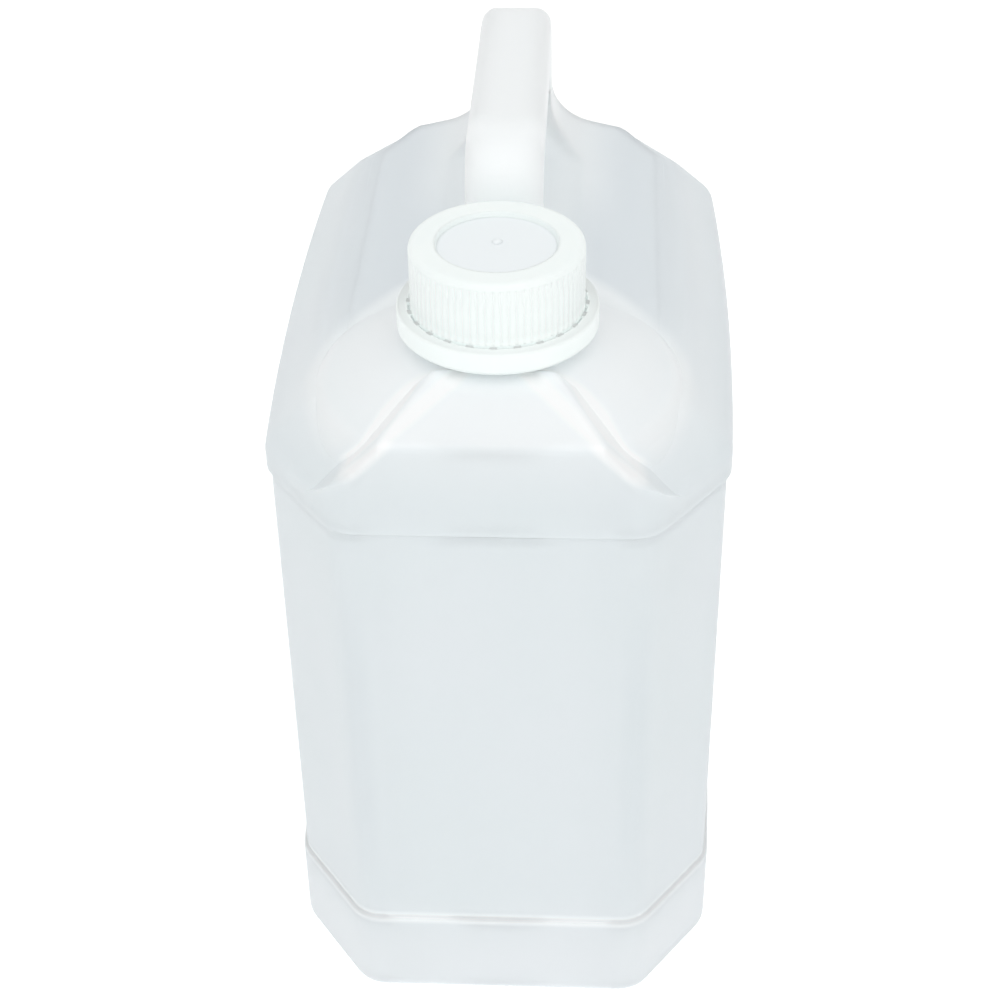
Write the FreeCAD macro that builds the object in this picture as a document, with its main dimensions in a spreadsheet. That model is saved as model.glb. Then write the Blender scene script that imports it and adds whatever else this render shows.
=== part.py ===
import FreeCAD, Part
import math
import os

import Sketcher

# A five-litre blow-moulded jug with a screw cap, in millimetres. +Z is up and the neck end faces -Y.
# The origin is on the ground, below the middle of the jug.

SIZES = {
    # Plan of the jug: a long octagon whose two long sides belly out a little.
    "body_length": 214,
    "body_width": 130,
    "side_belly": 2.2,
    "corner_across": 22,
    "corner_along": 30,
    "corner_round": 12,
    "wall": 1.4,
    # Walls, from the ground up to the shoulder.
    "shoulder_level": 192,
    "shoulder_band": 9,
    "bumper_height": 34,
    "waist_depth": 1.2,
    "waist_bevel": 0.55,
    "base_land": 13,
    "base_recess": 3,
    "base_edge_round": 6.5,
    # Hips: the slopes from the shoulder in to the plateau on top.
    "hip_rise": 14,
    "hip_run": 14,
    "hip_corner_round": 10,
    "shoulder_round": 7,
    "plateau_round": 12,
    # Dome round the neck. Every rise is counted from the shoulder.
    "neck_setback": 45,
    "dome_rim_rise": 14.5,
    "dome_rim_margin": 14.5,
    "dome_rim_run": 9,
    "dome_rim_round": 9,
    "dome_top_rise": 28.8,
    "dome_top_margin": 1.1,
    # Ramp from the front wall up to the neck.
    "ramp_run": 23,
    "ramp_foot_flare": 10,
    "ramp_brow_margin": 12,
    "ramp_brow_rise": 20,
    "ramp_brow_round": 3,
    "ramp_ridge_run": 15,
    "ramp_top_rise": 29.5,
    "ramp_ridge_round": 4.5,
    # Saddle that rises from the plateau to the feet of the handle.
    "saddle_foot_margin": 20,
    "saddle_edge_margin": 3,
    "saddle_crest_rise": 23.5,
    "saddle_flank_round": 18,
    "saddle_top_rise": 40,
    "saddle_front_rise": 22,
    "saddle_front_run": 11,
    "saddle_rear_run": 9,
    # Handle loop, and the finger room under it.
    "handle_width": 22,
    "handle_rise": 66.5,
    "handle_neck_gap": 36,
    "handle_front_lean": 5,
    "handle_front_bend": 16,
    "handle_rear_setback": 22,
    "handle_rear_lean": 7,
    "handle_rear_bend": 20,
    "handle_edge_round": 5,
    "grip_front_post": 16,
    "grip_rear_post": 19,
    "grip_floor_rise": 20.5,
    "grip_roof_rise": 47,
    "grip_corner_round": 11,
    "grip_edge_round": 3.5,
    # Neck.
    "neck_radius": 19.8,
    "neck_wall": 2.6,
    "neck_height": 22.7,
    "neck_lip_bevel": 0.7,
    "neck_root_step": 1.6,
    "bead_step": 3.4,
    "bead_rise": 4.2,
    "bead_height": 2.2,
    "bead_bevel": 0.6,
    # Sealing wad between the neck's lip and the cap's roof.
    "liner_thickness": 1.5,
    "liner_clearance": 0.1,
    "liner_margin": 0.3,
    # Screw cap.
    "thread_room": 1.5,
    "cap_wall": 2.5,
    "cap_bead_gap": 1.8,
    "cap_roof_thickness": 1.6,
    "cap_dish_depth": 1.5,
    "cap_dish_run": 0.5,
    "cap_crown_width": 7.6,
    "cap_crown_round": 1.6,
    "rib_count": 72,
    "rib_gap_depth": 0.35,
    "rib_gap_width": 0.9,
    "rib_foot_margin": 1.2,
    "rib_head_margin": 0.5,
    # Tamper band. It hooks under the neck's bead, and its rim stands round the foot of the cap.
    "band_clearance": 0.4,
    "band_drop": 0.6,
    "band_hook_thickness": 1.3,
    "band_floor_gap": 0.3,
    "band_rim_gap": 0.8,
    "band_rim_thickness": 3,
    "band_rim_overlap": 0.8,
    "band_foot_bevel": 0.9,
    "band_rim_bevel": 0.4,
    "bridge_count": 12,
    "bridge_width": 2.4,
    "bridge_clearance": 0.3,
}

# How far a cutting outline runs past what it cuts, and how far a foot sinks into what it stands on.
CLEAR = 5
SUNK = 1

# A bevel that takes off as much as a round is this share of its radius, on a blunt and on a square edge.
BLUNT_BEVEL = 0.25
SQUARE_BEVEL = 0.6

# The inside's edges lie this share of the wall in from the outside's, so that the wall stays even past them.
HIP_SHARE = 0.4
RIDGE_SHARE = 0.6
DOME_RIM_SHARE = 0.8
DOME_TOP_SHARE = 0.5

CROWN_STEPS = 3

document = FreeCAD.newDocument("detergent_jug")
sheet = document.addObject("Spreadsheet::Sheet", "sizes")
for row, (alias, number) in enumerate(SIZES.items(), start=1):
    sheet.set("A%d" % row, alias)
    sheet.set("B%d" % row, str(number))
    sheet.setAlias("B%d" % row, alias)
document.recompute()


class Size:
    """A size that knows its number and the formula that the document keeps for it."""

    def __init__(self, number, formula):
        self.number = float(number)
        self.formula = formula

    def __add__(self, other):
        other = as_size(other)
        return Size(self.number + other.number, "(%s + %s)" % (self.formula, other.formula))

    def __sub__(self, other):
        other = as_size(other)
        return Size(self.number - other.number, "(%s - %s)" % (self.formula, other.formula))

    def __mul__(self, other):
        other = as_size(other)
        return Size(self.number * other.number, "(%s * %s)" % (self.formula, other.formula))

    def __truediv__(self, other):
        other = as_size(other)
        return Size(self.number / other.number, "(%s / %s)" % (self.formula, other.formula))

    def __neg__(self):
        return Size(-self.number, "(0 - %s)" % self.formula)

    def root(self):
        return Size(math.sqrt(self.number), "sqrt(%s)" % self.formula)


def as_size(value):
    if isinstance(value, Size):
        return value
    return Size(value, repr(float(value)))


def cell(alias):
    return Size(sheet.get(alias), "sizes." + alias)


def above_shoulder(alias):
    return cell("shoulder_level") + cell(alias)


# Places and sizes that more than one piece shares.

OUTSIDE = as_size(0)
INSIDE = cell("wall")
half_length = cell("body_length") / 2
half_width = cell("body_width") / 2
front_half = half_width - cell("corner_across")
neck_y = cell("neck_setback") - half_length

dome_top = above_shoulder("dome_top_rise")
neck_lip = dome_top + cell("neck_height")
neck_radius = cell("neck_radius")
neck_root = neck_radius + cell("neck_root_step")
bead_radius = neck_radius + cell("bead_step")
bead_bottom = dome_top + cell("bead_rise")
bead_top = bead_bottom + cell("bead_height")

cap_inner = neck_radius + cell("thread_room")
cap_outer = cap_inner + cell("cap_wall")
cap_bottom = bead_top + cell("cap_bead_gap")
cap_roof = neck_lip + cell("liner_clearance") * 2 + cell("liner_thickness")
cap_disc_level = cap_roof + cell("cap_roof_thickness")
cap_top = cap_disc_level + cell("cap_dish_depth")

saddle_edge = cell("hip_run") + cell("saddle_edge_margin")
handle_front = neck_y + cell("handle_neck_gap")
handle_rear = half_length - cell("handle_rear_setback")
grip_front = handle_front + cell("grip_front_post")
grip_rear = handle_rear - cell("grip_rear_post")


# Sketches.

def plane_of(body, role):
    for feature in body.Origin.OriginFeatures:
        if feature.Role == role:
            return feature
    raise ValueError(role)


def new_sketch(body, name, role, offset=None):
    """A sketch on one of the body's own planes, moved along the plane's normal by an offset."""
    sketch = body.newObject("Sketcher::SketchObject", name)
    sketch.AttachmentSupport = [(plane_of(body, role), "")]
    sketch.MapMode = "FlatFace"
    if offset is not None:
        sketch.AttachmentOffset = FreeCAD.Placement(FreeCAD.Vector(0, 0, offset.number), FreeCAD.Rotation())
        sketch.setExpression("AttachmentOffset.Base.z", offset.formula)
    return sketch


def bind(sketch, kind, places, size):
    """Add a dimension and tie it to its formula."""
    index = sketch.addConstraint(Sketcher.Constraint(kind, *places, size.number))
    label = "size_%d" % index
    sketch.renameConstraint(index, label)
    sketch.setExpression("Constraints." + label, size.formula)


class Corner:
    """A corner of an outline: where it is, how it is rounded, and the belly of the edge that leaves it."""

    def __init__(self, across, up, rounding=None, belly=None):
        self.across = as_size(across)
        self.up = as_size(up)
        self.rounding = rounding
        self.belly = belly

    def point(self):
        return FreeCAD.Vector(self.across.number, self.up.number, 0)


class Turn:
    """Where the round at a corner starts and ends, and the middle of its arc."""

    def __init__(self, before, corner, after):
        point = corner.point()
        inward = (before.point() - point).normalize()
        onward = (after.point() - point).normalize()
        half_angle = inward.getAngle(onward) / 2
        radius = corner.rounding.number if corner.rounding else 0
        self.first = point + inward * (radius / math.tan(half_angle))
        self.last = point + onward * (radius / math.tan(half_angle))
        self.middle = point + (inward + onward).normalize() * (radius / math.sin(half_angle) - radius)
        self.turns_left = inward.cross(onward).z < 0


def draw_edge(sketch, start, end, belly):
    """A straight edge, or one that bellies out to the right of its own direction."""
    if belly is None:
        return sketch.addGeometry(Part.LineSegment(start, end), False)
    outward = FreeCAD.Vector(end.y - start.y, start.x - end.x, 0).normalize()
    middle = (start + end) * 0.5 + outward * belly.number
    return sketch.addGeometry(Part.Arc(start, middle, end), False)


def draw_outline(sketch, corners):
    """Draw a closed outline with straight or bellied edges and rounded corners, fully dimensioned.

    The outline runs anticlockwise wherever an edge has a belly.
    """
    count = len(corners)
    turns = [Turn(corners[index - 1], corners[index], corners[(index + 1) % count]) for index in range(count)]
    edges = []
    for index, corner in enumerate(corners):
        edges.append(draw_edge(sketch, turns[index].last, turns[(index + 1) % count].first, corner.belly))

    for index, corner in enumerate(corners):
        pin = sketch.addGeometry(Part.Point(corner.point()), True)
        bind(sketch, "DistanceX", (-1, 1, pin, 1), corner.across)
        bind(sketch, "DistanceY", (-1, 1, pin, 1), corner.up)
        before = edges[index - 1]
        after = edges[index]
        if corner.rounding is None:
            sketch.addConstraint(Sketcher.Constraint("Coincident", before, 2, pin, 1))
            sketch.addConstraint(Sketcher.Constraint("Coincident", after, 1, pin, 1))
            continue
        turn = turns[index]
        arc = sketch.addGeometry(Part.Arc(turn.first, turn.middle, turn.last), False)
        first_end, last_end = (1, 2) if turn.turns_left else (2, 1)
        sketch.addConstraint(Sketcher.Constraint("PointOnObject", pin, 1, before))
        sketch.addConstraint(Sketcher.Constraint("PointOnObject", pin, 1, after))
        sketch.addConstraint(Sketcher.Constraint("Tangent", before, 2, arc, first_end))
        sketch.addConstraint(Sketcher.Constraint("Tangent", after, 1, arc, last_end))
        bind(sketch, "Radius", (arc,), corner.rounding)

    for index, corner in enumerate(corners):
        if corner.belly is not None:
            chord = corners[(index + 1) % count].up - corner.up
            radius = (chord * chord / 4 + corner.belly * corner.belly) / (corner.belly * 2)
            bind(sketch, "Radius", (edges[index],), radius)


# Features.

def finish_feature(feature):
    document.recompute()
    if "Invalid" in feature.State or "Error" in feature.State or feature.Shape.isNull():
        raise RuntimeError("%s failed: %s" % (feature.Label, feature.State))
    return feature


def pad(body, name, sketch, length, midplane=False):
    feature = body.newObject("PartDesign::Pad", name)
    feature.Profile = sketch
    feature.Midplane = midplane
    feature.Length = length.number
    feature.setExpression("Length", length.formula)
    return finish_feature(feature)


def pocket(body, name, sketch, length, midplane=False, reverse=False):
    before = body.Tip.Shape.Volume
    feature = body.newObject("PartDesign::Pocket", name)
    feature.Profile = sketch
    feature.Midplane = midplane
    feature.Reversed = reverse
    feature.Length = length.number
    feature.setExpression("Length", length.formula)
    finish_feature(feature)
    if feature.Shape.Volume >= before:
        raise RuntimeError("%s cuts nothing" % name)
    return feature


def loft(body, name, lower, upper):
    feature = body.newObject("PartDesign::AdditiveLoft", name)
    feature.Profile = lower
    feature.Sections = [upper]
    feature.Ruled = True
    return finish_feature(feature)


def revolve(body, name, sketch):
    feature = body.newObject("PartDesign::Revolution", name)
    feature.Profile = sketch
    feature.ReferenceAxis = (sketch, ["V_Axis"])
    feature.Angle = 360
    return finish_feature(feature)


def polar_pattern(body, name, feature, sketch, count):
    pattern = body.newObject("PartDesign::PolarPattern", name)
    pattern.Originals = [feature]
    pattern.Axis = (sketch, ["N_Axis"])
    pattern.Angle = 360
    pattern.Occurrences = int(count.number)
    pattern.setExpression("Occurrences", count.formula)
    body.Tip = pattern
    return finish_feature(pattern)


def dress_edges(body, kind, property_name, name, size, wanted):
    """Round or bevel every edge of the body that the test wants."""
    base = body.Tip
    names = []
    for number, edge in enumerate(base.Shape.Edges, start=1):
        if wanted(edge):
            names.append("Edge%d" % number)
    if not names:
        raise RuntimeError("%s finds no edge" % name)
    feature = body.newObject(kind, name)
    feature.Base = (base, names)
    setattr(feature, property_name, size.number)
    feature.setExpression(property_name, size.formula)
    return finish_feature(feature)


def fillet(body, name, radius, wanted):
    return dress_edges(body, "PartDesign::Fillet", "Radius", name, radius, wanted)


def chamfer(body, name, size, wanted):
    return dress_edges(body, "PartDesign::Chamfer", "Size", name, size, wanted)


def soften(body, name, inset, radius, bevel_share, wanted):
    """Round the edges of the outside, and bevel those of the inside, which nobody sees, by about as much."""
    if inset is OUTSIDE:
        return fillet(body, name, radius, wanted)
    return chamfer(body, name, (radius - inset) * bevel_share, wanted)


def lies_at_level(edge, level):
    box = edge.BoundBox
    return abs(box.ZMin - level.number) < 0.01 and abs(box.ZMax - level.number) < 0.01


def lies_on_side(edge, side):
    box = edge.BoundBox
    return abs(abs(box.XMin) - side.number) < 0.01 and abs(box.XMax - box.XMin) < 0.01


# The jug. One form serves twice: with no inset it is the outside, and with the wall as its inset the inside.

def plan_corners(inset, rounding):
    """The long octagon, moved in from the outer wall by an inset."""
    across = cell("corner_across")
    along = cell("corner_along")
    slant = (across * across + along * along).root()
    end_x = front_half - inset * (slant - across) / along
    end_y = half_length - inset
    side_x = half_width - inset
    side_y = half_length - along - inset * (slant - along) / across
    belly = cell("side_belly")
    return [
        Corner(-end_x, -end_y, rounding),
        Corner(end_x, -end_y, rounding),
        Corner(side_x, -side_y, rounding, belly),
        Corner(side_x, side_y, rounding),
        Corner(end_x, end_y, rounding),
        Corner(-end_x, end_y, rounding),
        Corner(-side_x, side_y, rounding, belly),
        Corner(-side_x, -side_y, rounding),
    ]


def wall_plan(inset):
    return plan_corners(inset, cell("corner_round") - inset)


def far_frame():
    """A rectangle well clear of the jug, round what is cut away outside it."""
    reach_x = half_width * 2
    reach_y = half_length + half_width
    return [
        Corner(-reach_x, -reach_y),
        Corner(reach_x, -reach_y),
        Corner(reach_x, reach_y),
        Corner(-reach_x, reach_y),
    ]


def hip_foot(inset):
    return cell("shoulder_level") - inset * HIP_SHARE


def plateau(inset):
    return above_shoulder("hip_rise") - inset


def add_walls(body, inset):
    plan = new_sketch(body, body.Label + "_plan", "XY_Plane", inset)
    draw_outline(plan, wall_plan(inset))
    pad(body, body.Label + "_walls", plan, hip_foot(inset) - inset)
    soften(body, body.Label + "_base_edge", inset, cell("base_edge_round"), SQUARE_BEVEL,
           lambda edge: lies_at_level(edge, inset))


def add_hips(body, inset):
    lower = new_sketch(body, body.Label + "_hip_foot", "XY_Plane", hip_foot(inset))
    draw_outline(lower, wall_plan(inset))
    upper = new_sketch(body, body.Label + "_hip_top", "XY_Plane", plateau(inset))
    draw_outline(upper, plan_corners(cell("hip_run") + inset * HIP_SHARE, cell("hip_corner_round")))
    loft(body, body.Label + "_hips", lower, upper)
    soften(body, body.Label + "_shoulder_edge", inset, cell("shoulder_round"), BLUNT_BEVEL,
           lambda edge: lies_at_level(edge, hip_foot(inset)))
    soften(body, body.Label + "_plateau_edge", inset, cell("plateau_round"), BLUNT_BEVEL,
           lambda edge: lies_at_level(edge, plateau(inset)))


def grip_outline(inset, floor, roof):
    """The finger room under the handle, seen from the side."""
    front = grip_front - inset
    rear = grip_rear + inset
    rounding = cell("grip_corner_round") + inset
    return [
        Corner(front, floor, rounding),
        Corner(rear, floor, rounding),
        Corner(rear, roof, rounding),
        Corner(front, roof, rounding),
    ]


def saddle_plan(inset):
    """The part of the plateau that the saddle stands on: its rear end, a little inside the edge."""
    octagon = plan_corners(saddle_edge + inset, cell("hip_corner_round") - inset)
    front = handle_front - cell("saddle_front_run") * 2 + inset
    side = octagon[2].across
    rear_corners = [Corner(corner.across, corner.up, corner.rounding) for corner in octagon[3:7]]
    return [Corner(-side, front), Corner(side, front)] + rear_corners


def saddle_flank(inset, top, hand):
    """What is cut away on one side of the saddle: a gentle slope that turns up into the handle's side."""
    foot = half_width - cell("saddle_foot_margin") - inset
    strap = cell("handle_width") / 2 - inset
    crest = above_shoulder("saddle_crest_rise") - inset
    return [
        Corner(strap * hand, top + CLEAR),
        Corner(strap * hand, crest, cell("saddle_flank_round") + inset),
        Corner(foot * hand, plateau(inset)),
        Corner(half_width * hand, plateau(inset)),
        Corner(half_width * hand, top + CLEAR),
    ]


def ahead_of_saddle(inset, top):
    front = handle_front + inset
    reach = half_length + CLEAR
    return [
        Corner(front, top + CLEAR),
        Corner(-reach, top + CLEAR),
        Corner(-reach, plateau(inset)),
        Corner(front - cell("saddle_front_run") * 2, plateau(inset)),
        Corner(front - cell("saddle_front_run"), above_shoulder("saddle_front_rise") - inset),
        Corner(front, top),
    ]


def behind_saddle(inset, top):
    rear = half_length - saddle_edge - inset
    reach = half_length + CLEAR
    return [
        Corner(rear - cell("saddle_rear_run"), top + CLEAR),
        Corner(rear - cell("saddle_rear_run"), top),
        Corner(rear, plateau(inset)),
        Corner(reach, plateau(inset)),
        Corner(reach, top + CLEAR),
    ]


def add_saddle(body, inset):
    """The ridge that carries the handle."""
    top = above_shoulder("saddle_top_rise") - inset
    foot = plateau(inset) - SUNK
    plan = new_sketch(body, body.Label + "_saddle_plan", "XY_Plane", foot)
    draw_outline(plan, saddle_plan(inset))
    pad(body, body.Label + "_saddle", plan, top - foot)

    flanks = new_sketch(body, body.Label + "_flank_outlines", "XZ_Plane")
    draw_outline(flanks, saddle_flank(inset, top, 1))
    draw_outline(flanks, saddle_flank(inset, top, -1))
    pocket(body, body.Label + "_flanks", flanks, cell("body_length"), midplane=True)

    ends = new_sketch(body, body.Label + "_saddle_ends", "YZ_Plane")
    draw_outline(ends, ahead_of_saddle(inset, top))
    draw_outline(ends, behind_saddle(inset, top))
    pocket(body, body.Label + "_saddle_slopes", ends, cell("body_width"), midplane=True)

    grip = new_sketch(body, body.Label + "_grip_floor", "YZ_Plane")
    roof = above_shoulder("grip_roof_rise")
    draw_outline(grip, grip_outline(inset, above_shoulder("grip_floor_rise") - inset, roof))
    pocket(body, body.Label + "_grip_room", grip, cell("body_width"), midplane=True)


def ramp_section(foot, foot_half, top, top_half, rounding):
    return [
        Corner(-foot_half, foot),
        Corner(foot_half, foot),
        Corner(top_half, top, rounding),
        Corner(-top_half, top, rounding),
    ]


def add_ramp(body, inset):
    """The wedge from the front wall up to the neck, with its two ridges. Its front runs up from the wall."""
    foot = cell("shoulder_level") - SUNK * 4
    foot_half = front_half + cell("ramp_foot_flare") - inset
    ridge_round = cell("ramp_ridge_round") if inset is OUTSIDE else None
    brow = above_shoulder("ramp_brow_rise") - inset
    brow_half = front_half - cell("ramp_brow_margin") - inset * RIDGE_SHARE
    top_half = brow_half - cell("ramp_ridge_run")
    wall_y = half_length - inset
    front = new_sketch(body, body.Label + "_ramp_front", "XZ_Plane", wall_y)
    draw_outline(front, ramp_section(foot, foot_half, brow, brow_half, ridge_round))
    back = new_sketch(body, body.Label + "_ramp_back", "XZ_Plane", wall_y - cell("ramp_run"))
    top = above_shoulder("ramp_top_rise") - inset
    draw_outline(back, ramp_section(foot, foot_half, top, top_half, ridge_round))
    loft(body, body.Label + "_ramp", front, back)
    if inset is OUTSIDE:
        fillet(body, body.Label + "_brow", cell("ramp_brow_round"),
               lambda edge: lies_at_level(edge, brow) and abs(edge.BoundBox.YMin + wall_y.number) < 0.01)


def add_dome(body, inset):
    foot = cell("shoulder_level") - SUNK * 4
    rim = half_width - cell("dome_rim_margin")
    top = dome_top - inset
    profile = new_sketch(body, body.Label + "_dome_profile", "XZ_Plane", -neck_y)
    draw_outline(profile, [
        Corner(0, foot),
        Corner(rim + cell("dome_rim_run") - inset, foot),
        Corner(rim - inset * DOME_RIM_SHARE, above_shoulder("dome_rim_rise") - inset,
               cell("dome_rim_round") if inset is OUTSIDE else None),
        Corner(neck_root + cell("dome_top_margin") - inset * DOME_TOP_SHARE, top),
        Corner(0, top),
    ])
    revolve(body, body.Label + "_dome", profile)


def trim_to_walls(body, inset):
    """Cut off what the dome and the ramp leave outside the front wall and its rounded corners."""
    outline = new_sketch(body, body.Label + "_trim_plan", "XY_Plane", cell("shoulder_level") - SUNK * 6)
    draw_outline(outline, far_frame())
    draw_outline(outline, wall_plan(inset))
    pocket(body, body.Label + "_trim", outline, above_shoulder("handle_rise"), reverse=True)


def add_waist(body, inset):
    """The shallow recess round the walls, between the bumper at the foot and the band at the shoulder."""
    bottom = cell("bumper_height") - inset
    top = cell("shoulder_level") - cell("shoulder_band") + inset
    outline = new_sketch(body, body.Label + "_waist_plan", "XY_Plane", bottom)
    draw_outline(outline, far_frame())
    draw_outline(outline, wall_plan(cell("waist_depth") + inset))
    pocket(body, body.Label + "_waist", outline, top - bottom, reverse=True)
    if inset is OUTSIDE:
        chamfer(body, body.Label + "_waist_edges", cell("waist_bevel"),
                lambda edge: lies_at_level(edge, top) or lies_at_level(edge, bottom))


def add_base_recess(body, inset):
    outline = new_sketch(body, body.Label + "_base_plan", "XY_Plane", inset)
    draw_outline(outline, plan_corners(cell("base_land") - inset, cell("hip_corner_round")))
    pocket(body, body.Label + "_base_recess", outline, cell("base_recess"), reverse=True)


def shell_form(name, inset):
    """The jug without its handle."""
    body = document.addObject("PartDesign::Body", name)
    add_walls(body, inset)
    add_hips(body, inset)
    add_saddle(body, inset)
    add_ramp(body, inset)
    add_dome(body, inset)
    trim_to_walls(body, inset)
    add_waist(body, inset)
    add_base_recess(body, inset)
    return body


def handle_form(name, inset):
    """The loop of the handle, hollow like the rest of the jug, with its feet sunk in the saddle."""
    body = document.addObject("PartDesign::Body", name)
    foot = plateau(inset) - SUNK * 2
    top = above_shoulder("handle_rise") - inset
    front = handle_front + inset
    rear = handle_rear - inset
    width = cell("handle_width") - inset * 2
    loop = new_sketch(body, name + "_loop", "YZ_Plane")
    draw_outline(loop, [
        Corner(front - cell("handle_front_lean"), foot),
        Corner(rear + cell("handle_rear_lean"), foot),
        Corner(rear, top, cell("handle_rear_bend") - inset),
        Corner(front, top, cell("handle_front_bend") - inset),
    ])
    pad(body, name + "_strap", loop, width, midplane=True)
    soften(body, name + "_edges", inset, cell("handle_edge_round"), SQUARE_BEVEL,
           lambda edge: lies_on_side(edge, width / 2) and edge.BoundBox.ZMax > foot.number + SUNK)

    roof = above_shoulder("grip_roof_rise") + inset
    grip = new_sketch(body, name + "_grip", "YZ_Plane")
    draw_outline(grip, grip_outline(inset, foot - cell("grip_corner_round") * 2, roof))
    pocket(body, name + "_grip_hole", grip, width + CLEAR, midplane=True)
    soften(body, name + "_grip_edges", inset, cell("grip_edge_round"), SQUARE_BEVEL,
           lambda edge: lies_on_side(edge, width / 2) and faces_grip(edge, inset, roof))
    return body


def faces_grip(edge, inset, roof):
    box = edge.BoundBox
    in_length = box.YMin > (grip_front - inset).number - 0.01 and box.YMax < (grip_rear + inset).number + 0.01
    return in_length and box.ZMax < roof.number + 0.01


def add_neck(body):
    foot = above_shoulder("dome_rim_rise")
    lip_bevel = cell("neck_lip_bevel")
    bead_bevel = cell("bead_bevel")
    profile = new_sketch(body, "neck_profile", "XZ_Plane", -neck_y)
    draw_outline(profile, [
        Corner(0, foot),
        Corner(neck_root, foot),
        Corner(neck_root, bead_bottom),
        Corner(bead_radius, bead_bottom),
        Corner(bead_radius, bead_top - bead_bevel),
        Corner(bead_radius - bead_bevel, bead_top),
        Corner(neck_radius, bead_top),
        Corner(neck_radius, neck_lip - lip_bevel),
        Corner(neck_radius - lip_bevel, neck_lip),
        Corner(0, neck_lip),
    ])
    revolve(body, "neck", profile)


def add_bore(body):
    """The way in through the neck. It runs past the lip, so that it opens the neck when it is taken away."""
    foot = above_shoulder("dome_rim_rise")
    bore = neck_radius - cell("neck_wall")
    past_lip = neck_lip + CLEAR
    profile = new_sketch(body, "bore_profile", "XZ_Plane", -neck_y)
    draw_outline(profile, [Corner(0, foot), Corner(bore, foot), Corner(bore, past_lip), Corner(0, past_lip)])
    revolve(body, "bore", profile)


def fuse(name, shapes):
    feature = document.addObject("Part::MultiFuse", name)
    feature.Shapes = shapes
    feature.Refine = True
    return finish_feature(feature)


def make_jug():
    outside = shell_form("outside", OUTSIDE)
    add_neck(outside)
    inside = shell_form("inside", INSIDE)
    add_bore(inside)
    jug = document.addObject("Part::Cut", "jug_body")
    jug.Base = fuse("solid", [outside, handle_form("outer_handle", OUTSIDE)])
    jug.Tool = fuse("hollow", [inside, handle_form("inner_handle", INSIDE)])
    return finish_feature(jug)


# The closure: three pieces on the neck's axis.

def neck_piece(name):
    """A body whose own vertical axis is the neck's."""
    body = document.addObject("PartDesign::Body", name)
    body.setExpression("Placement.Base.y", neck_y.formula)
    return body


def crown_corners():
    """The broad round of the crown, in a few flat steps."""
    radius = cell("cap_crown_round")
    corners = []
    for step in range(CROWN_STEPS + 1):
        angle = math.pi / 2 * step / CROWN_STEPS
        across = cap_outer - radius * (1 - math.cos(angle))
        up = cap_top - radius * (1 - math.sin(angle))
        corners.append(Corner(across, up))
    return corners


def make_cap():
    body = neck_piece("screw_cap")
    disc = cap_outer - cell("cap_crown_width")
    profile = new_sketch(body, "cap_profile", "XZ_Plane")
    draw_outline(profile, [
        Corner(cap_inner, cap_bottom),
        Corner(cap_outer, cap_bottom),
        *crown_corners(),
        Corner(disc + cell("cap_dish_run"), cap_top),
        Corner(disc, cap_disc_level),
        Corner(0, cap_disc_level),
        Corner(0, cap_roof),
        Corner(cap_inner, cap_roof),
    ])
    revolve(body, "cap_shell", profile)

    foot = cap_bottom + cell("rib_foot_margin")
    head = cap_top - cell("cap_crown_round") - cell("rib_head_margin")
    gap = cell("rib_gap_width")
    between_ribs = new_sketch(body, "rib_gap_plan", "XY_Plane", foot)
    draw_outline(between_ribs, [
        Corner(cap_outer - cell("rib_gap_depth"), 0),
        Corner(cap_outer + cell("rib_gap_depth"), -gap),
        Corner(cap_outer + cell("rib_gap_depth"), gap),
    ])
    first = pocket(body, "rib_gap", between_ribs, head - foot, reverse=True)
    polar_pattern(body, "rib_gaps", first, between_ribs, cell("rib_count"))
    return body


def make_liner():
    body = neck_piece("cap_liner")
    radius = cap_inner - cell("liner_margin")
    plan = new_sketch(body, "liner_plan", "XY_Plane", neck_lip + cell("liner_clearance"))
    rim = plan.addGeometry(Part.Circle(FreeCAD.Vector(), FreeCAD.Vector(0, 0, 1), radius.number))
    plan.addConstraint(Sketcher.Constraint("Coincident", rim, 3, -1, 1))
    bind(plan, "Radius", (rim,), radius)
    pad(body, "liner", plan, cell("liner_thickness"))
    return body


def make_band():
    body = neck_piece("tamper_band")
    clearance = cell("band_clearance")
    throat = bead_radius + clearance
    hook = neck_root + clearance
    rim = cap_outer + cell("band_rim_gap")
    outer = rim + cell("band_rim_thickness")
    hook_top = bead_bottom - cell("band_drop")
    bottom = hook_top - cell("band_hook_thickness")
    floor = bead_top + cell("band_floor_gap")
    top = cap_bottom + cell("band_rim_overlap")
    foot_bevel = cell("band_foot_bevel")
    rim_bevel = cell("band_rim_bevel")
    profile = new_sketch(body, "band_profile", "XZ_Plane")
    draw_outline(profile, [
        Corner(hook, bottom),
        Corner(outer - foot_bevel, bottom),
        Corner(outer, bottom + foot_bevel),
        Corner(outer, top - rim_bevel),
        Corner(outer - rim_bevel, top),
        Corner(rim, top),
        Corner(rim, floor),
        Corner(throat, floor),
        Corner(throat, hook_top),
        Corner(hook, hook_top),
    ])
    revolve(body, "band_ring", profile)

    half_bridge = cell("bridge_width") / 2
    sunk = cell("band_rim_bevel")
    plan = new_sketch(body, "bridge_plan", "XY_Plane", floor - sunk)
    draw_outline(plan, [
        Corner(throat, -half_bridge),
        Corner(rim + sunk, -half_bridge),
        Corner(rim + sunk, half_bridge),
        Corner(throat, half_bridge),
    ])
    first = pad(body, "bridge", plan, cap_bottom - cell("bridge_clearance") - floor + sunk)
    polar_pattern(body, "bridges", first, plan, cell("bridge_count"))
    return body


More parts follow.
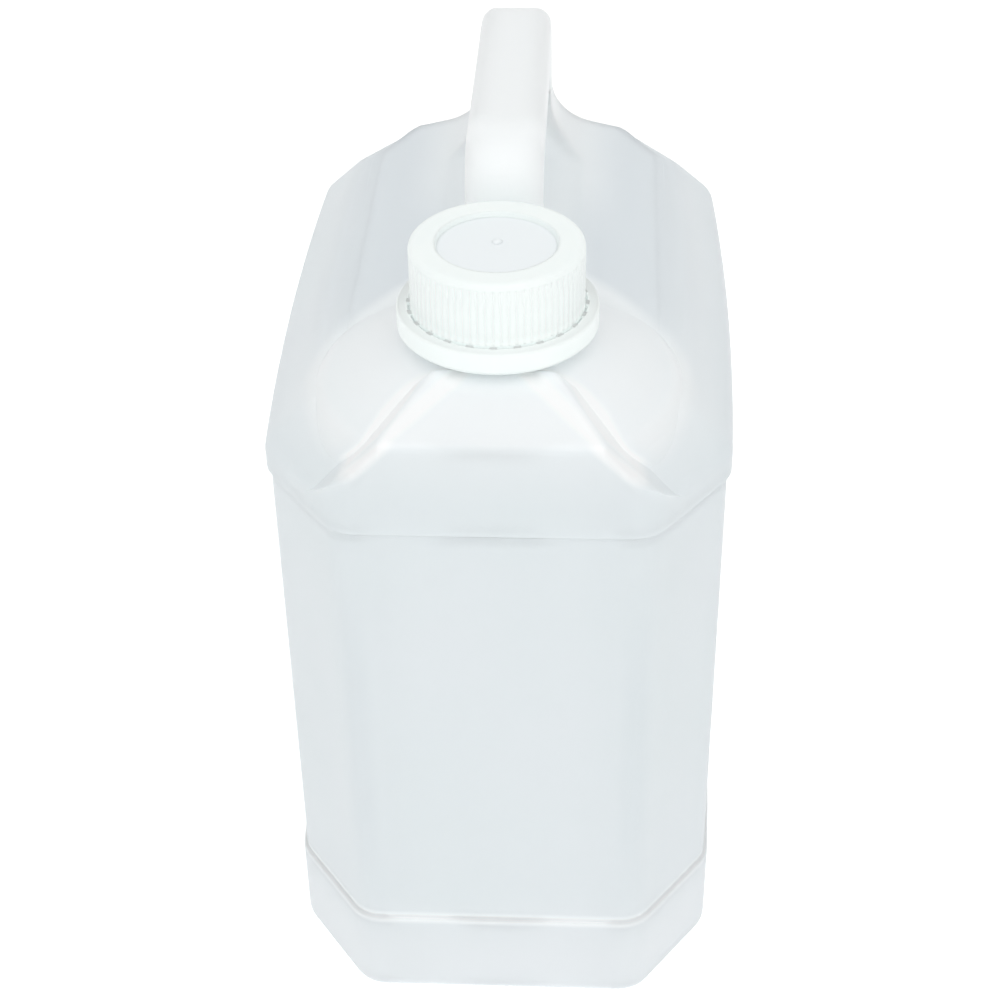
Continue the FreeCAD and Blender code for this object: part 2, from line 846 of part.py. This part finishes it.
pieces = [make_jug(), make_band(), make_liner(), make_cap()]
document.recompute()
for item in document.Objects:
    if "Invalid" in item.State or "Error" in item.State:
        raise RuntimeError("%s is %s" % (item.Label, item.State))
os.makedirs("parts", exist_ok=True)
for piece in pieces:
    shape = piece.Shape
    if shape.isNull() or not shape.isValid():
        raise RuntimeError("%s has no valid shape" % piece.Label)
    shape.exportStep("parts/%s.step" % piece.Label)
    print("%s: %d solid, %.2f cm3" % (piece.Label, len(shape.Solids), shape.Volume / 1000))
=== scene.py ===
import math

import bpy
from mathutils import Matrix, Vector


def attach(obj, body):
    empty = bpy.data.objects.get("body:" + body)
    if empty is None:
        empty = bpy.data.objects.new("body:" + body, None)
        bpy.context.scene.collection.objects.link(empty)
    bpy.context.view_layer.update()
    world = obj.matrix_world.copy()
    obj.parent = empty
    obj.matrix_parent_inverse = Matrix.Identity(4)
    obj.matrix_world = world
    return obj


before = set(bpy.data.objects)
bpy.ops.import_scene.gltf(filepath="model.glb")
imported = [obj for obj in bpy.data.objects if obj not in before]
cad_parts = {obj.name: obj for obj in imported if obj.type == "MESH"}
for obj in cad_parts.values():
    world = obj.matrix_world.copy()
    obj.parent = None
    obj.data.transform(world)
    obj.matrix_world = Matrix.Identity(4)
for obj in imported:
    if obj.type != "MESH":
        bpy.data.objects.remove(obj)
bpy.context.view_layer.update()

MM = 0.001
NECK_Y = -62 * MM


# Camera.

def aim_camera(place, down, aside, roll, lens):
    """A camera at a place, looking along +Y, then turned aside, tipped down and rolled, in degrees."""
    data = bpy.data.cameras.new("camera")
    data.lens = lens
    data.sensor_width = 36
    data.clip_start = 0.01
    data.clip_end = 100
    camera = bpy.data.objects.new("camera", data)
    bpy.context.scene.collection.objects.link(camera)
    turn = Matrix.Rotation(-math.radians(aside), 4, "Z")
    tip = Matrix.Rotation(math.radians(90 - down), 4, "X")
    lean = Matrix.Rotation(math.radians(roll), 4, "Z")
    camera.matrix_world = Matrix.Translation(place) @ turn @ tip @ lean
    bpy.context.scene.camera = camera


aim_camera(Vector((0.0265, -0.537, 0.5096)), down=36.07, aside=-3.23, roll=-0.98, lens=72.9)


# Shader nodes.

class Wire:
    """A socket of a node tree that takes part in plain arithmetic."""

    def __init__(self, tree, socket):
        self.tree = tree
        self.socket = socket

    def math(self, operation, *others):
        return self.tree.node("ShaderNodeMath", {"operation": operation}, [self, *others])

    def __add__(self, other):
        return self.math("ADD", other)

    def __radd__(self, other):
        return self.math("ADD", other)

    def __sub__(self, other):
        return self.math("SUBTRACT", other)

    def __rsub__(self, other):
        return self.tree.node("ShaderNodeMath", {"operation": "SUBTRACT"}, [other, self])

    def __mul__(self, other):
        return self.math("MULTIPLY", other)

    def __rmul__(self, other):
        return self.math("MULTIPLY", other)

    def __abs__(self):
        return self.math("ABSOLUTE")

    def __rtruediv__(self, other):
        return self.tree.node("ShaderNodeMath", {"operation": "DIVIDE"}, [other, self])

    def clamped(self):
        return self.math("MAXIMUM", 0.0).math("MINIMUM", 1.0)

    def rising(self, low, high):
        """Nought below the low value, one above the high one, and a soft step between them."""
        sockets = {"Value": self, "From Min": low, "From Max": high}
        return self.tree.node("ShaderNodeMapRange", {"interpolation_type": "SMOOTHSTEP"}, sockets)

    def falling(self, low, high):
        return 1 - self.rising(low, high)

    def near(self, middle, whole, gone):
        """One within a distance of the middle, and nought from a greater distance on."""
        return abs(self - middle).falling(whole, gone)

    def or_else(self, other):
        """The stronger of two masks."""
        return self.math("MAXIMUM", other)


class Tree:
    """A node tree, of a material or of a shape."""

    def __init__(self, tree):
        self.tree = tree

    def node(self, kind, settings=None, sockets=None, output=0):
        """A node of a type: its settings first, then the values or links of its sockets."""
        made = self.tree.nodes.new(kind)
        for setting, value in (settings or {}).items():
            setattr(made, setting, value)
        named = sockets.items() if isinstance(sockets, dict) else enumerate(sockets or [])
        for key, value in named:
            self.plug(made.inputs[key], value)
        return Wire(self, made.outputs[output])

    def plug(self, socket, value):
        if isinstance(value, Wire):
            self.tree.links.new(value.socket, socket)
        else:
            socket.default_value = value


class Finish(Tree):
    """A node material that ends in one Principled shader."""

    def __init__(self, name, **constants):
        self.material = bpy.data.materials.new(name)
        self.material.use_nodes = True
        super().__init__(self.material.node_tree)
        self.shader = self.tree.nodes["Principled BSDF"]
        for socket, value in constants.items():
            self.shader.inputs[socket.replace("_", " ")].default_value = value

    def drive(self, socket, value):
        self.plug(self.shader.inputs[socket], value)

    def place(self):
        return self.node("ShaderNodeTexCoord", output="Object")

    def axes(self):
        """The three object coordinates, in millimetres."""
        split = self.node("ShaderNodeSeparateXYZ", None, [self.place()])
        return [Wire(self, output) * (1 / MM) for output in split.socket.node.outputs]

    def from_neck(self, x, y):
        """The distance from the neck's axis, in millimetres."""
        return (x * x + (y - NECK_Y / MM) * (y - NECK_Y / MM)).math("SQRT")

    def noise(self, scale, detail=2.0, roughness=0.5):
        sockets = {"Vector": self.place(), "Scale": scale, "Detail": detail, "Roughness": roughness}
        return self.node("ShaderNodeTexNoise", None, sockets)

    def blend(self, factor, first, second):
        """A mix of two colours."""
        sockets = {0: factor, 6: first, 7: second}
        return self.node("ShaderNodeMix", {"data_type": "RGBA"}, sockets, output=2)

    def glow(self, strength, tint):
        """Painted light: the plastic glows, as strong as the mask."""
        self.drive("Emission Color", self.blend(strength.clamped(), (0, 0, 0, 1), tint))
        self.shader.inputs["Emission Strength"].default_value = 1.0

    def hidden(self, reach):
        """How much of the sky is hidden by what stands nearer than the reach."""
        sockets = {"Distance": reach}
        return 1 - self.node("ShaderNodeAmbientOcclusion", {"samples": 4}, sockets, output=1)

    def rounded(self, radius):
        """The skin's direction, with every edge rounded."""
        return self.node("ShaderNodeBevel", {"samples": 4}, {"Radius": radius})

    def turned(self, factor, first, second):
        """A mix of two directions."""
        return self.node("ShaderNodeMix", {"data_type": "VECTOR"}, {0: factor, 4: first, 5: second}, output=1)

    def unit(self, vector):
        return self.node("ShaderNodeVectorMath", {"operation": "NORMALIZE"}, [vector])

    def bump(self, height, depth, strength=1.0, below=None):
        sockets = {"Strength": strength, "Distance": depth, "Height": height}
        if below is not None:
            sockets["Normal"] = below
        return self.node("ShaderNodeBump", None, sockets)

    def wear(self, node):
        """Put this finish on a part of the frame."""
        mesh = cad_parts[node].data
        if len(mesh.materials) == 0:
            mesh.materials.append(self.material)
        for index in range(len(mesh.materials)):
            mesh.materials[index] = self.material


def srgb(red, green, blue):
    """A colour given in the numbers of a colour picker, as the shader wants it."""
    linear = []
    for value in (red, green, blue):
        share = value / 255
        linear.append(share / 12.92 if share <= 0.04045 else ((share + 0.055) / 1.055) ** 2.4)
    return (*linear, 1.0)


# The jug's heights and radii that its finish follows, in millimetres.
DOME_FOOT = 51.2
WAIST_FOOT = 34.8
WAIST_TOP = 183
RAMP_FOOT = 213


def jug_zones(finish):
    """Masks of the jug's parts, from the place of each point of its skin."""
    x, y, z = finish.axes()
    side = abs(x)
    across = finish.from_neck(x, y)
    zone = {"x": x, "y": y, "z": z, "side": side, "across": across}
    zone["dome"] = across.falling(48, 55)
    zone["handle"] = z.rising(214, 222) * side.falling(11.5, 16) * y.rising(-34, -30)
    zone["before dome"] = y.falling(-82, -74)
    zone["step top"] = z.near(WAIST_TOP, 0.5, 4)
    zone["step foot"] = z.near(WAIST_FOOT - 0.6, 0.4, 2.5)

    # Beside the ramp a crease runs down from the neck, and inside it is the ridge that gets a painted
    # highlight.
    crease = 16 + 1.4 * (221.5 - z).math("MINIMUM", 9.8) + 1.03 * (211.7 - z).math("MAXIMUM", 0.0)
    ridge = 14.2 + 2.35 * (219 - z).math("MINIMUM", 6.0) + (RAMP_FOOT - z).math("MAXIMUM", 0.0)
    zone["crease line"] = crease
    ridge = side.near(ridge, 1, 5) * z.rising(199, 204) * zone["before dome"]
    zone["ridge"] = ridge * (side - crease).falling(-0.5, 1.5)
    return zone


def jug_colour(finish, zone):
    """How much light comes back out of the hollow differs from place to place, and is painted here."""
    x, y, z, side, across = [zone[name] for name in ("x", "y", "z", "side", "across")]
    clouds = finish.noise(14.0, 3.0, 0.55)

    # The top is bright in front, has painted light on the handle, and painted shade on the hollow flanks
    # beside the handle.
    top = finish.blend(clouds, srgb(242, 249, 251), srgb(246, 251, 254))
    by_handle = y.rising(0, 50) * side.falling(20, 38)
    flank_shade = (1 - zone["dome"]) * y.rising(-90, -10) * side.rising(12, 28) * (1 - 0.25 * side.rising(38, 58))
    top = finish.blend(flank_shade * (1 - 0.85 * by_handle), top, srgb(222, 229, 234))
    top = finish.blend(zone["handle"], top, srgb(249, 254, 255))

    # The walls look deeper, with painted shade that makes them darker than the top. Their long edges and the
    # side at plus x get a little more painted shade, and their foot is lighter.
    walls = finish.blend(clouds, srgb(222, 233, 235), srgb(230, 236, 241))
    edge_shade = side.rising(34, 39) * side.falling(41, 45) * y.falling(-103, -98)
    edge_shade = edge_shade * z.rising(36, 80) * z.falling(130, 180) + 0.9 * x.rising(58, 66)
    walls = finish.blend(0.22 * edge_shade, walls, srgb(208, 217, 222))
    walls = finish.blend(0.5 * z.falling(12, 50), walls, srgb(241, 245, 249))
    base = finish.blend(z.rising(190, 216), walls, top)
    # Painted shade: just below the ramp's foot the front takes the walls' darker colour.
    below_ramp_shade = z.falling(RAMP_FOOT - 2, RAMP_FOOT + 0.2) * y.falling(-104.5, -100.5)
    base = finish.blend(0.55 * below_ramp_shade, base, walls)

    # Painted light: the ridges beside the ramp get a painted highlight, and the fold at the dome's foot and
    # the foot of the waist step are painted whiter against the shade in them.
    fold_light = across.near(DOME_FOOT, 0.5, 5) * z.rising(190, 197) * z.falling(208, 211)
    fold_light = fold_light * (1 - 0.8 * y.rising(-60, -35)) * y.rising(-100, -90)
    painted_light = zone["ridge"].or_else(0.3 * fold_light).or_else(0.4 * zone["step foot"])
    return finish.blend(painted_light, base, srgb(252, 255, 255))


def jug_skin(finish, zone):
    """The direction of the jug's skin: soft edges, faint steps at the waist, and orange peel."""
    y, z, side, across = [zone[name] for name in ("y", "z", "side", "across")]

    # The neck with its thread stays crisp, and so do the creases that are too near to other edges.
    crisp = side.near(zone["crease line"], 3.5, 6) * z.rising(186, 190) * zone["before dome"]
    neck = z.rising(222.2, 223.2) * y.falling(-36, -34)
    crisp = crisp.or_else(across.near(DOME_FOOT, 3, 6)).or_else(neck)
    plain = finish.node("ShaderNodeNewGeometry", output="Normal")
    skin = finish.turned(crisp, finish.rounded(6 * MM), plain)

    # At the steps of the waist the skin hardly turns up or down.
    step = zone["step top"] + z.near(WAIST_FOOT, 0.5, 4)
    level = finish.node("ShaderNodeCombineXYZ", None, {"X": 1.0, "Y": 1.0, "Z": 1 - 0.85 * step})
    skin = finish.unit(finish.node("ShaderNodeVectorMath", {"operation": "MULTIPLY"}, [skin, level]))
    return finish.bump(finish.noise(420.0), 0.12 * MM, 0.35, skin)


def milky_polyethylene():
    """Unpigmented blow-moulded polyethylene: a soft sheen, with faint clouds where the wall is thicker."""
    finish = Finish("milky_polyethylene", Roughness=0.4, IOR=1.5, Subsurface_Weight=0.5,
                    Subsurface_Scale=4 * MM)
    finish.shader.inputs["Subsurface Radius"].default_value = (1.0, 1.0, 1.0)
    zone = jug_zones(finish)
    finish.drive("Base Color", jug_colour(finish, zone))
    finish.drive("Roughness", 0.34 + 0.12 * finish.noise(60.0))
    finish.drive("Normal", jug_skin(finish, zone))

    # Painted light: the plastic glows in the narrow folds and on the ridges, the handle, the dome and the
    # waist's foot, in place of light that comes through the wall, so that they are not dark.
    painted_glow = 0.3 * finish.hidden(6 * MM) * zone["across"].rising(26, 32)
    painted_glow = painted_glow + 0.018 * zone["handle"] + 0.02 * zone["ridge"] + 0.012 * zone["dome"]
    painted_glow = painted_glow + 0.07 * zone["step foot"]
    finish.glow(painted_glow, (0.96, 0.99, 1, 1))
    return finish


# The closure's heights and radii that its finish follows, in millimetres.
DISC_LEVEL = 246.8
DISC_RADIUS = 16.2
BAND_TOP = 229.8


def white_polypropylene():
    """Injection-moulded white closure plastic, with painted shade on the thin disc in the middle of the cap
    and a dark painted line of shade round its edge.
    """
    finish = Finish("white_polypropylene", Roughness=0.38, IOR=1.49, Subsurface_Weight=0.3,
                    Subsurface_Scale=2 * MM)
    finish.shader.inputs["Subsurface Radius"].default_value = (1.0, 1.0, 1.0)
    x, y, z = finish.axes()
    across = finish.from_neck(x, y)
    body = finish.blend(finish.noise(90.0), srgb(234, 241, 240), srgb(239, 244, 242))
    # Painted shade: the disc is painted greyer, and a dark line of shade is painted round its edge.
    roof = z.rising(DISC_LEVEL - 0.4, DISC_LEVEL - 0.2)
    disc = roof * across.falling(DISC_RADIUS - 0.2, DISC_RADIUS + 0.1)
    rim_shade_line = roof * across.rising(DISC_RADIUS - 0.3, DISC_RADIUS)
    rim_shade_line = rim_shade_line * across.falling(DISC_RADIUS + 0.2, DISC_RADIUS + 0.6)
    body = finish.blend(disc, body, srgb(230, 235, 237))
    finish.drive("Base Color", finish.blend(0.4 * rim_shade_line, body, srgb(196, 204, 204)))
    finish.drive("Roughness", 0.34 + 0.1 * finish.noise(200.0))

    # The ribs are shallow and round, and hardly turn the skin away from the axis.
    outward = finish.unit(finish.node("ShaderNodeCombineXYZ", None, {"X": x, "Y": y - NECK_Y / MM}))
    ribs = across.rising(22.2, 22.6) * z.rising(BAND_TOP - 0.2, BAND_TOP + 0.2) * z.falling(241.5, 243.5)
    skin = finish.unit(finish.turned(0.8 * ribs, finish.rounded(1.2 * MM), outward))
    finish.drive("Normal", finish.bump(finish.noise(1500.0), 0.04 * MM, 0.3, skin))

    # Painted light: the closure glows a little all over, and more in the ribs and the gap above the band, in
    # place of light that comes through the wall, so that they are not dark.
    reach = (0.3 + 0.7 * z.rising(BAND_TOP, BAND_TOP + 0.8)) * (1 - disc)
    painted_glow = 0.06 + 0.03 * z.falling(BAND_TOP - 0.5, BAND_TOP) + 0.35 * finish.hidden(3 * MM) * reach
    finish.glow(painted_glow, (0.97, 1, 0.99, 1))
    return finish


def foam_wad():
    """The white foam of the sealing wad."""
    finish = Finish("foam_wad", Roughness=0.7)
    cells = finish.noise(900.0)
    finish.drive("Base Color", finish.blend(cells, srgb(236, 236, 232), srgb(247, 247, 244)))
    finish.drive("Roughness", 0.62 + 0.2 * cells)
    finish.drive("Normal", finish.bump(cells, 0.0001, 0.5))
    return finish


jug_finish = milky_polyethylene()
closure_finish = white_polypropylene()
jug_finish.wear("jug_body")
closure_finish.wear("screw_cap")
closure_finish.wear("tamper_band")
foam_wad().wear("cap_liner")


# Pieces that the CAD model leaves out.

PITCH = 5 * MM


def add_piece(name, mesh, finish, body):
    """A finished mesh as a piece of the object, which moves with a body."""
    if len(mesh.materials) == 0:
        mesh.materials.append(finish.material)
    piece = bpy.data.objects.new(name, mesh)
    bpy.context.scene.collection.objects.link(piece)
    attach(piece, body)
    return piece


class Shape(Tree):
    """A tree of geometry nodes with named inputs, which makes plain meshes."""

    def __init__(self, name, inputs):
        super().__init__(bpy.data.node_groups.new(name, "GeometryNodeTree"))
        self.sockets = {}
        for label, kind in inputs.items():
            made = self.tree.interface.new_socket(label, in_out="INPUT", socket_type="NodeSocket" + kind)
            self.sockets[label] = made.identifier
        self.tree.interface.new_socket("Geometry", in_out="OUTPUT", socket_type="NodeSocketGeometry")
        self.entry = self.tree.nodes.new("NodeGroupInput")

    def given(self, label):
        return Wire(self, self.entry.outputs[label])

    def finish_with(self, geometry):
        """End the tree: real geometry in the given material."""
        real = self.node("GeometryNodeRealizeInstances", None, [geometry])
        sockets = {"Geometry": real, "Material": self.given("Material")}
        dressed = self.node("GeometryNodeSetMaterial", None, sockets)
        self.plug(self.tree.nodes.new("NodeGroupOutput").inputs[0], dressed)

    def mesh(self, name, **values):
        """The mesh that the tree makes from these values of its inputs."""
        maker = bpy.data.objects.new(name + "_maker", bpy.data.meshes.new(name + "_maker"))
        bpy.context.scene.collection.objects.link(maker)
        modifier = maker.modifiers.new(name, "NODES")
        modifier.node_group = self.tree
        for label, value in values.items():
            modifier[self.sockets[label]] = value
        graph = bpy.context.evaluated_depsgraph_get()
        made = bpy.data.meshes.new_from_object(maker.evaluated_get(graph))
        maker.modifiers.remove(modifier)
        bpy.data.objects.remove(maker)
        made.name = name
        made.shade_smooth()
        made.set_sharp_from_angle(angle=math.radians(35))
        return made


def thread_shape():
    """A right-hand thread round the neck's axis, thin at both ends. A negative depth points it inwards."""
    inputs = {"Radius": "Float", "Depth": "Float", "Foot": "Float", "Turns": "Float", "Material": "Material"}
    shape = Shape("thread", inputs)
    spiral = shape.node("GeometryNodeCurveSpiral", None, {
        "Resolution": 72, "Rotations": shape.given("Turns"), "Start Radius": shape.given("Radius"),
        "End Radius": shape.given("Radius"), "Height": shape.given("Turns") * PITCH, "Reverse": True})
    upright = shape.node("GeometryNodeSetCurveNormal", {"mode": "Z_UP"}, [spiral])
    along = shape.node("GeometryNodeSplineParameter", None, None)
    from_end = along.math("MINIMUM", 1 - along)
    taper = (from_end * 16 + 0.02).clamped()
    thin = shape.node("GeometryNodeSetCurveRadius", None, {"Curve": upright, "Radius": taper})
    section = shape.node("GeometryNodeCurvePrimitiveQuadrilateral", {"mode": "TRAPEZOID"}, {
        "Bottom Width": 2.1 * MM, "Top Width": 0.9 * MM, "Height": abs(shape.given("Depth")), "Offset": 0.0})
    lift = shape.node("ShaderNodeCombineXYZ", None, {"Y": abs(shape.given("Depth")) * 0.5})
    section = shape.node("GeometryNodeTransform", None, {"Geometry": section, "Translation": lift})
    turn = shape.node("ShaderNodeCombineXYZ", None, {"Z": shape.given("Depth").math("SIGN") * (-math.pi / 2)})
    section = shape.node("GeometryNodeTransform", None, {"Geometry": section, "Rotation": turn})
    sockets = {"Curve": thin, "Profile Curve": section, "Fill Caps": True}
    solid = shape.node("GeometryNodeCurveToMesh", None, sockets)
    place = shape.node("ShaderNodeCombineXYZ", None, {"Y": NECK_Y, "Z": shape.given("Foot")})
    shape.finish_with(shape.node("GeometryNodeTransform", None, {"Geometry": solid, "Translation": place}))
    return shape


def lathe(name, outline, centre_y):
    """Turn an outline of (across, up) points about an upright axis, from its lowest point to its highest."""
    steps = 48
    points = [(0, centre_y, outline[0][1])]
    faces = []
    for across, up in outline[1:-1]:
        for step in range(steps):
            angle = 2 * math.pi * step / steps
            points.append((across * math.cos(angle), centre_y + across * math.sin(angle), up))
    points.append((0, centre_y, outline[-1][1]))
    for step in range(steps):
        after = (step + 1) % steps
        faces.append((0, 1 + after, 1 + step))
        for ring in range(len(outline) - 3):
            low = 1 + ring * steps
            faces.append((low + step, low + after, low + steps + after, low + steps + step))
        last = 1 + (len(outline) - 3) * steps
        faces.append((last + step, last + after, len(points) - 1))
    mesh = bpy.data.meshes.new(name)
    mesh.from_pydata(points, [], faces)
    mesh.shade_smooth()
    mesh.set_sharp_from_angle(angle=math.radians(50))
    return mesh


threads = thread_shape()
neck_thread = threads.mesh("neck_thread", Radius=19.6 * MM, Depth=1.4 * MM, Foot=231 * MM, Turns=1.9,
                           Material=jug_finish.material)
add_piece("neck_thread", neck_thread, jug_finish, "jug")
cap_thread = threads.mesh("cap_thread", Radius=21.5 * MM, Depth=-1.4 * MM, Foot=233.5 * MM, Turns=1.5,
                          Material=closure_finish.material)
add_piece("cap_thread", cap_thread, closure_finish, "cap")

def bridge_shape():
    """The bridges from the band towards the cap, set evenly round the neck's axis."""
    shape = Shape("bridges", {"Count": "Int", "Radius": "Float", "Level": "Float", "Material": "Material"})
    sockets = {"Vertices": shape.given("Count"), "Radius": shape.given("Radius")}
    ring = shape.node("GeometryNodeMeshCircle", None, sockets)
    bridge = shape.node("GeometryNodeMeshCube", None, {
        "Size": (1.0 * MM, 2.0 * MM, 1.4 * MM), "Vertices X": 2, "Vertices Y": 4, "Vertices Z": 2})
    angle = shape.node("GeometryNodeInputIndex") * (2 * math.pi / shape.given("Count"))
    turn = shape.node("ShaderNodeCombineXYZ", None, {"Z": angle})
    sockets = {"Points": ring, "Instance": bridge, "Rotation": turn}
    bridges = shape.node("GeometryNodeInstanceOnPoints", None, sockets)
    place = shape.node("ShaderNodeCombineXYZ", None, {"Y": NECK_Y, "Z": shape.given("Level")})
    shape.finish_with(shape.node("GeometryNodeTransform", None, {"Geometry": bridges, "Translation": place}))
    return shape


bridges = bridge_shape().mesh("band_stubs", Count=24, Radius=24.42 * MM, Level=229.2 * MM,
                              Material=closure_finish.material)
add_piece("band_stubs", bridges, closure_finish, "jug")

# The gate mark stands on the cap's disc, a little off its middle: (across, above the disc), in millimetres.
GATE_OUTLINE = [(0, -0.3), (1.5, -0.3), (1.5, 0.1), (1.1, 0.45), (0.6, 0.6), (0, 0.62)]
gate = [(across * MM, (DISC_LEVEL + up) * MM) for across, up in GATE_OUTLINE]
add_piece("cap_gate_mark", lathe("cap_gate_mark", gate, NECK_Y + 2.2 * MM), closure_finish, "cap")


# Floor, world and lamps.

def make_floor():
    """A wide white floor. To the camera it adds a little glow of its own, so that it stays white."""
    mesh = bpy.data.meshes.new("floor")
    reach = 12.0
    corners = [(-reach, -reach, 0), (reach, -reach, 0), (reach, reach, 0), (-reach, reach, 0)]
    mesh.from_pydata(corners, [], [(0, 1, 2, 3)])
    floor = bpy.data.objects.new("floor", mesh)
    bpy.context.scene.collection.objects.link(floor)
    finish = Finish("studio_floor", Roughness=0.9, Specular_IOR_Level=0.1)
    finish.shader.inputs["Base Color"].default_value = srgb(250, 250, 250)
    kinds = ("Is Camera Ray", "Is Glossy Ray", "Is Transmission Ray")
    seen, mirrored, through = [finish.node("ShaderNodeLightPath", output=kind) for kind in kinds]
    sockets = {"Color": (1, 1, 1, 1), "Strength": 0.35 * (seen + mirrored + through)}
    glow = finish.node("ShaderNodeEmission", None, sockets)
    total = finish.node("ShaderNodeAddShader", None, [Wire(finish, finish.shader.outputs[0]), glow])
    output = finish.tree.nodes["Material Output"]
    finish.plug(output.inputs["Surface"], total)
    mesh.materials.append(finish.material)


def make_world(strength):
    """White all round: plain light for the object, full white to the camera and through glass."""
    world = bpy.data.worlds.new("studio")
    world.use_nodes = True
    tree = world.node_tree
    background = tree.nodes["Background"]
    background.inputs["Color"].default_value = (1, 1, 1, 1)
    rays = tree.nodes.new("ShaderNodeLightPath")
    seen = tree.nodes.new("ShaderNodeMath")
    seen.operation = "MAXIMUM"
    tree.links.new(rays.outputs["Is Camera Ray"], seen.inputs[0])
    tree.links.new(rays.outputs["Is Transmission Ray"], seen.inputs[1])
    level = tree.nodes.new("ShaderNodeMapRange")
    level.inputs["To Min"].default_value = strength
    level.inputs["To Max"].default_value = 1.0
    tree.links.new(seen.outputs[0], level.inputs["Value"])
    tree.links.new(level.outputs["Result"], background.inputs["Strength"])
    bpy.context.scene.world = world


def add_lamp(name, place, target, size, power):
    """A square soft box that faces a target."""
    data = bpy.data.lights.new(name, "AREA")
    data.shape = "SQUARE"
    data.size = size
    data.energy = power
    lamp = bpy.data.objects.new(name, data)
    bpy.context.scene.collection.objects.link(lamp)
    away = Vector(target) - Vector(place)
    lamp.matrix_world = Matrix.Translation(place) @ away.to_track_quat("-Z", "Y").to_matrix().to_4x4()


make_floor()
make_world(0.8)
add_lamp("key", (0.1, -1.3, 1.7), (0, 0, 0.15), 2.0, 12.5)

scene = bpy.context.scene
scene.view_settings.view_transform = "Standard"
